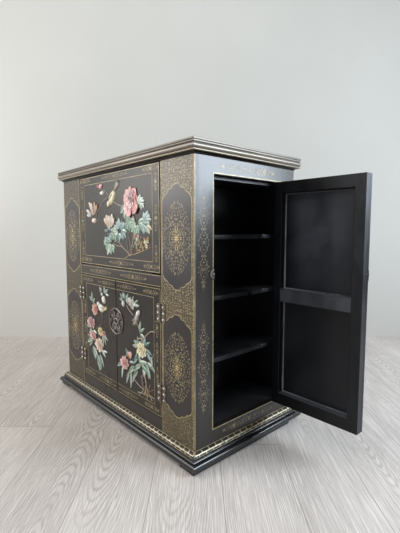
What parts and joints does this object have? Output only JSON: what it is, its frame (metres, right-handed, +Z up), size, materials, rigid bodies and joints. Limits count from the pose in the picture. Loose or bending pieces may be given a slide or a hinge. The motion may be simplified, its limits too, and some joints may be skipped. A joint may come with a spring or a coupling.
{
  "type": "bar cabinet",
  "caption": "Lacquered chinoiserie bar cabinet with a fall flap over a pair of doors, deep shelved side doors, carved stone overlay, moulded cornice and base.",
  "frame": {"origin": "on the floor under the middle of the body, level with the undersides of the plinth's stretcher and runners", "axes": "+Z up; the front with the flap and the pair of doors looks along -Y; +X towards the open side door, to the right as one faces the front"},
  "size_m": [1.3258, 0.5774, 1.032],
  "materials": {
    "dark_lacquer": "dark brown-black lacquer with gold line ornament and glued carved stones",
    "gold_diaper_lacquer": "lacquer with a fine gold diaper and black cartouches",
    "black_satin_lacquer": "black satin lacquer",
    "rubbed_gilt_moulding": "rubbed bronze-gold on run moulding",
    "black_gloss_lacquer": "gloss black lacquer",
    "dark_bronze": "dark patinated bronze",
    "worn_brass": "worn brass",
    "bright_steel": "bright steel"
  },
  "bodies": {
    "cabinet": {"back_board": "black_satin_lacquer", "bar_deck": "black_satin_lacquer", "base_fret_band": "rubbed_gilt_moulding", "base_moulding": "black_gloss_lacquer", "bottom_rail": "dark_lacquer", "ceiling_board": "black_satin_lacquer", "cornice_moulding": "rubbed_gilt_moulding", "flap_hinge_fixed": "dark_bronze", "floor_board": "black_satin_lacquer", "frieze_rail": "dark_lacquer", "head_rail": "black_satin_lacquer", "left_front_hinge_lower_fixed": "dark_bronze", "left_front_hinge_upper_fixed": "dark_bronze", "left_front_post": "black_satin_lacquer", "left_partition": "black_satin_lacquer", "left_pilaster": "gold_diaper_lacquer", "left_shelf_lower": "black_satin_lacquer", "left_shelf_middle": "black_satin_lacquer", "left_shelf_upper": "black_satin_lacquer", "left_side_frame": "dark_lacquer", "left_side_hinge_lower_fixed": "worn_brass", "left_side_hinge_upper_fixed": "worn_brass", "left_stile_plate": "dark_bronze", "plinth": "black_satin_lacquer", "right_front_hinge_lower_fixed": "dark_bronze", "right_front_hinge_upper_fixed": "dark_bronze", "right_front_post": "black_satin_lacquer", "right_partition": "black_satin_lacquer", "right_pilaster": "gold_diaper_lacquer", "right_shelf_lower": "black_satin_lacquer", "right_shelf_middle": "black_satin_lacquer", "right_shelf_upper": "black_satin_lacquer", "right_side_frame": "dark_lacquer", "right_side_hinge_lower_fixed": "worn_brass", "right_side_hinge_upper_fixed": "worn_brass", "right_stile_plate": "dark_bronze", "top_board": "dark_lacquer"},
    "right_side_door": {"right_side_door_board": "dark_lacquer", "right_side_door_catch": "bright_steel", "right_side_door_frame": "black_satin_lacquer", "right_side_door_plate": "dark_bronze", "right_side_hinge_lower_moving": "worn_brass", "right_side_hinge_upper_moving": "worn_brass"},
    "left_side_door": {"left_side_door_board": "dark_lacquer", "left_side_door_catch": "bright_steel", "left_side_door_frame": "black_satin_lacquer", "left_side_door_plate": "dark_bronze", "left_side_hinge_lower_moving": "worn_brass", "left_side_hinge_upper_moving": "worn_brass"},
    "right_front_door": {"right_front_door": "dark_lacquer", "right_front_hinge_lower_moving": "dark_bronze", "right_front_hinge_upper_moving": "dark_bronze", "right_medallion_half": "dark_bronze"},
    "left_front_door": {"left_front_door": "dark_lacquer", "left_front_hinge_lower_moving": "dark_bronze", "left_front_hinge_upper_moving": "dark_bronze", "left_medallion_half": "dark_bronze"},
    "flap": {"flap": "dark_lacquer", "flap_hinge_moving": "dark_bronze"}
  },
  "joints": [
    {"name": "right_side_door_hinge", "type": "hinge", "parent": "cabinet", "child": "right_side_door", "pos_m": [0.475, 0.1725, 0.1091], "axis": [0, 0, 1], "range_deg": [-90, 20]},
    {"name": "left_side_door_hinge", "type": "hinge", "parent": "cabinet", "child": "left_side_door", "pos_m": [-0.475, 0.1725, 0.1091], "axis": [0, 0, -1], "range_deg": [0, 110]},
    {"name": "right_front_door_hinge", "type": "hinge", "parent": "cabinet", "child": "right_front_door", "pos_m": [0.30175, -0.2571, 0.105], "axis": [0, 0, 1], "range_deg": [0, 110]},
    {"name": "left_front_door_hinge", "type": "hinge", "parent": "cabinet", "child": "left_front_door", "pos_m": [-0.30175, -0.2571, 0.105], "axis": [0, 0, -1], "range_deg": [0, 110]},
    {"name": "flap_hinge", "type": "hinge", "parent": "cabinet", "child": "flap", "pos_m": [0, -0.254, 0.611], "axis": [1, 0, 0], "range_deg": [0, 90]}
  ]
}
